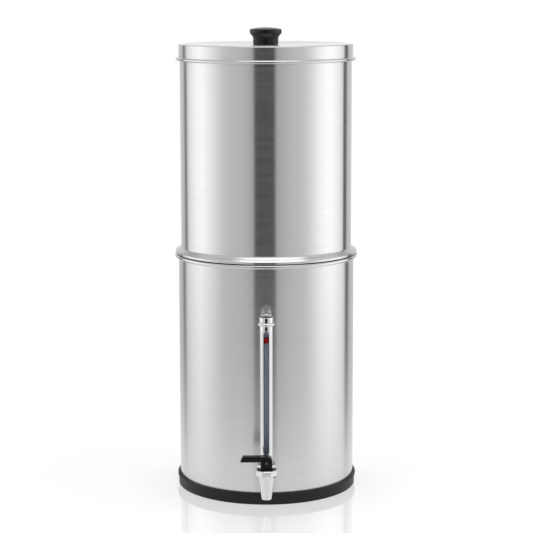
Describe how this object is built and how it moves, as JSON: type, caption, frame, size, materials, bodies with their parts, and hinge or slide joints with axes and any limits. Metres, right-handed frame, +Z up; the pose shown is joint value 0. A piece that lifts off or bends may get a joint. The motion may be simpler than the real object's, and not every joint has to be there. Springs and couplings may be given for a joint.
{
  "type": "gravity water filter with tap",
  "caption": "Countertop gravity water filter: two stacked round steel chambers, ceramic elements, lid with knob, slotted sight glass with float, and lever tap.",
  "frame": {"origin": "centre of the whole object's footprint, tap included, at table level", "axes": "+Z up along the chambers, -Y towards the tap, +X to the right seen from the front"},
  "size_m": [0.2604, 0.3215, 0.6554],
  "materials": {
    "brushed_steel": "brushed round the chamber, satin",
    "chrome": "bright plating",
    "plain_steel": "plain turned steel",
    "black_rubber": "matt",
    "black_plastic": "semi-gloss, moulded",
    "white_plastic": "satin, moulded",
    "white_ceramic": "unglazed, porous",
    "clear_tube": "clear, polished",
    "red_plastic": "gloss"
  },
  "bodies": {
    "base": {"base_ring": "black_rubber", "lower_chamber": "brushed_steel", "shank_gasket_outer": "black_rubber", "shank_gasket_inner": "black_rubber", "shank_nut": "plain_steel", "gauge_fitting": "chrome", "gauge_bottom_grommet": "black_rubber", "gauge_tube": "clear_tube", "gauge_top_grommet": "black_rubber", "gauge_shield": "chrome", "gauge_cap": "chrome", "gauge_cap_seal": "black_rubber", "gauge_vent_plug": "chrome", "tap_body": "chrome", "tap_bonnet": "black_plastic"},
    "float": {"gauge_float": "red_plastic"},
    "valve_spring": {"tap_spring": "plain_steel"},
    "valve_stem": {"tap_stem": "plain_steel", "tap_seat_cup": "black_rubber", "tap_lever_pin": "plain_steel"},
    "lever": {"tap_lever": "black_plastic"},
    "upper": {"upper_chamber": "brushed_steel", "filter_element_1": "white_ceramic", "element_base_1": "white_plastic", "element_washer_1": "black_rubber", "wing_nut_1": "white_plastic", "filter_element_2": "white_ceramic", "element_base_2": "white_plastic", "element_washer_2": "black_rubber", "wing_nut_2": "white_plastic", "filter_element_3": "white_ceramic", "element_base_3": "white_plastic", "element_washer_3": "black_rubber", "wing_nut_3": "white_plastic", "filter_element_4": "white_ceramic", "element_base_4": "white_plastic", "element_washer_4": "black_rubber", "wing_nut_4": "white_plastic", "hole_plug_1": "white_plastic", "plug_washer_1": "black_rubber", "plug_nut_1": "white_plastic", "hole_plug_2": "white_plastic", "plug_washer_2": "black_rubber", "plug_nut_2": "white_plastic"},
    "cover": {"lid": "brushed_steel", "lid_knob": "black_plastic", "lid_knob_washer": "plain_steel", "lid_knob_screw": "plain_steel"}
  },
  "joints": [
    {"name": "upper_lift", "type": "slide", "parent": "base", "child": "upper", "axis": [0, 0, 1], "range_m": [0, 0.06]},
    {"name": "lid_lift", "type": "slide", "parent": "upper", "child": "cover", "axis": [0, 0, 1], "range_m": [0, 0.04]},
    {"name": "float_rise", "type": "slide", "parent": "base", "child": "float", "axis": [0, 0, 1], "range_m": [-0.171, 0.019]},
    {"name": "lever_swivel", "type": "hinge", "parent": "base", "child": "valve_spring", "pos_m": [0, -0.14675, 0.066], "axis": [0, 0, 1], "range_deg": [-45, 225]},
    {"name": "stem_lift", "type": "slide", "parent": "valve_spring", "child": "valve_stem", "axis": [0, 0, 1], "range_m": [0, 0.003], "deforming": ["tap_spring"]},
    {"name": "lever_tilt", "type": "hinge", "parent": "valve_stem", "child": "lever", "pos_m": [0, -0.14675, 0.075], "axis": [0, -1, 0], "range_deg": [0, 25], "stiffness_Nm_per_rad": 0.028, "springref_deg": -108.86}
  ],
  "couplings": [
    {"joint": "stem_lift", "follows": "lever_tilt", "m_per_rad": 0.00685}
  ]
}
